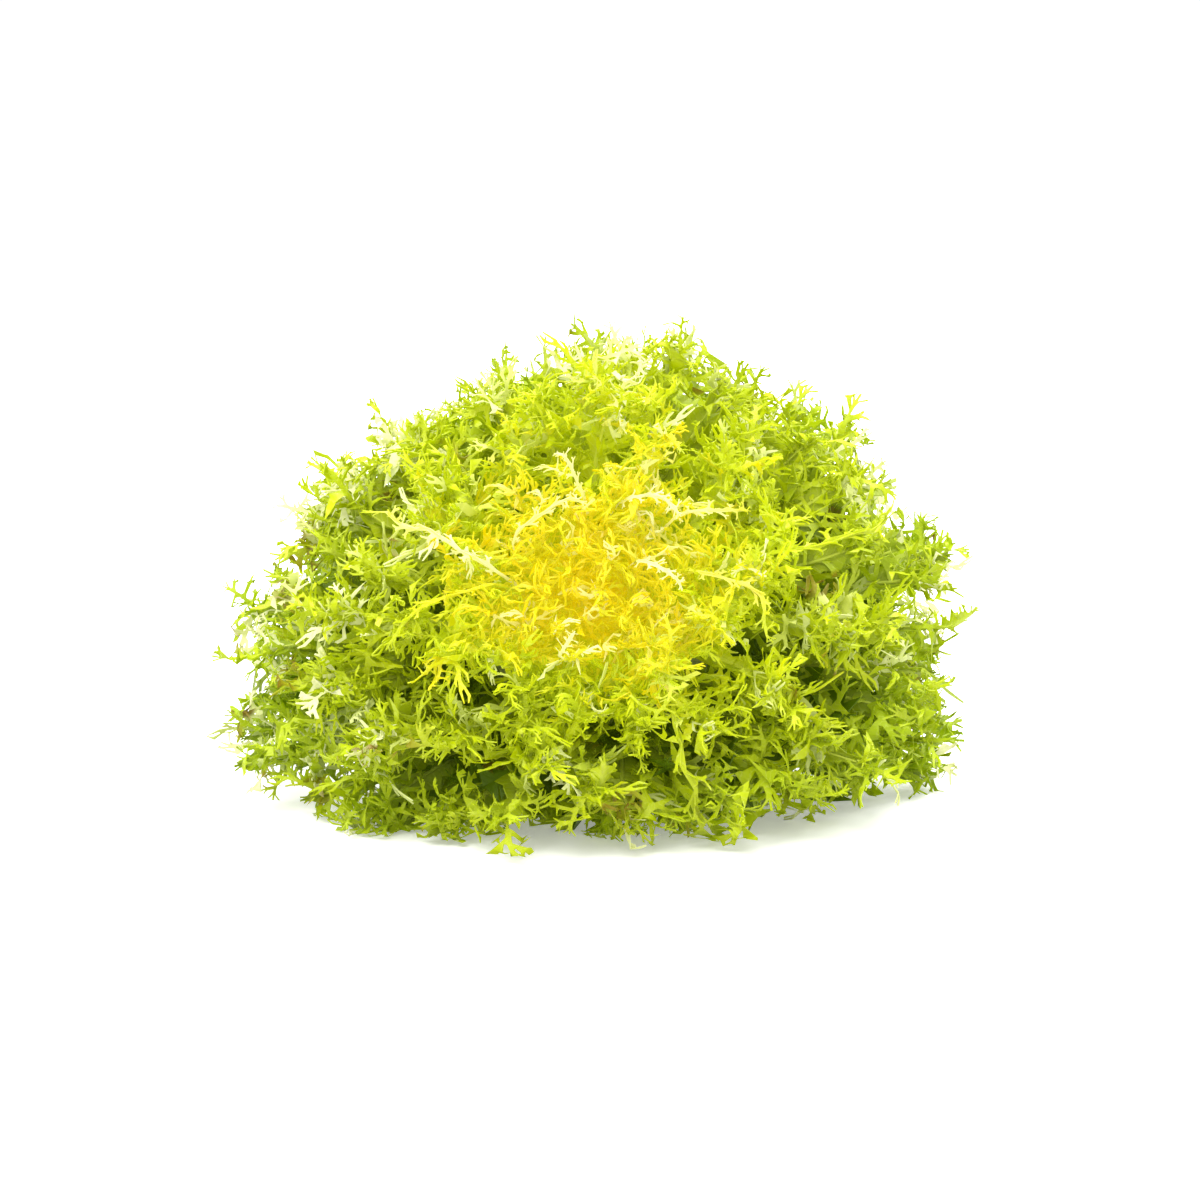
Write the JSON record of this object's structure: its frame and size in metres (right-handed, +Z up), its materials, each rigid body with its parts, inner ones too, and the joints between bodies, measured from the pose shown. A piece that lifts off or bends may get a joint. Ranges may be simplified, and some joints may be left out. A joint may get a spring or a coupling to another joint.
{
  "type": "curly endive head",
  "caption": "Whole head of curly endive lying on its side: finely cut, frizzy leaves spread from a short crown round a yellow heart.",
  "frame": {"origin": "on the surface that the head lies on, under the middle of its box", "axes": "+X to the right as the heart is looked at, +Z up, -Y the way the heart faces; the heart also looks 20 degrees upwards"},
  "size_m": [0.3003, 0.2012, 0.1949],
  "materials": {
    "crown": "matt",
    "leaf_green": "soft sheen",
    "leaf_lime": "soft sheen",
    "heart": "soft sheen"
  },
  "bodies": {
    "root": {"crown": "crown", "leaf_01": "leaf_green", "leaf_02": "leaf_green", "leaf_03": "leaf_green", "leaf_04": "leaf_green", "leaf_05": "leaf_green", "leaf_06": "leaf_green", "leaf_07": "leaf_green", "leaf_08": "leaf_green", "leaf_09": "leaf_green", "leaf_10": "leaf_green", "leaf_11": "leaf_green", "leaf_12": "leaf_green", "leaf_13": "leaf_green", "leaf_14": "leaf_green", "leaf_15": "leaf_green", "leaf_16": "leaf_green", "leaf_17": "leaf_green", "leaf_18": "leaf_green", "leaf_19": "leaf_green", "leaf_20": "leaf_green", "leaf_21": "leaf_green", "leaf_22": "leaf_green", "leaf_23": "leaf_green", "leaf_24": "leaf_green", "leaf_25": "leaf_lime", "leaf_26": "leaf_lime", "leaf_27": "leaf_lime", "leaf_28": "leaf_lime", "leaf_29": "leaf_lime", "leaf_30": "leaf_lime", "leaf_31": "leaf_lime", "leaf_32": "leaf_lime", "leaf_33": "leaf_lime", "leaf_34": "leaf_lime", "leaf_35": "leaf_lime", "leaf_36": "leaf_lime", "leaf_37": "leaf_lime", "leaf_38": "leaf_lime", "leaf_39": "leaf_lime", "leaf_40": "leaf_lime", "leaf_41": "leaf_lime", "leaf_42": "leaf_lime", "leaf_43": "leaf_lime", "leaf_44": "leaf_lime", "leaf_45": "leaf_lime", "leaf_46": "leaf_lime", "leaf_47": "leaf_lime", "leaf_48": "leaf_lime", "heart": "heart"}
  },
  "joints": []
}
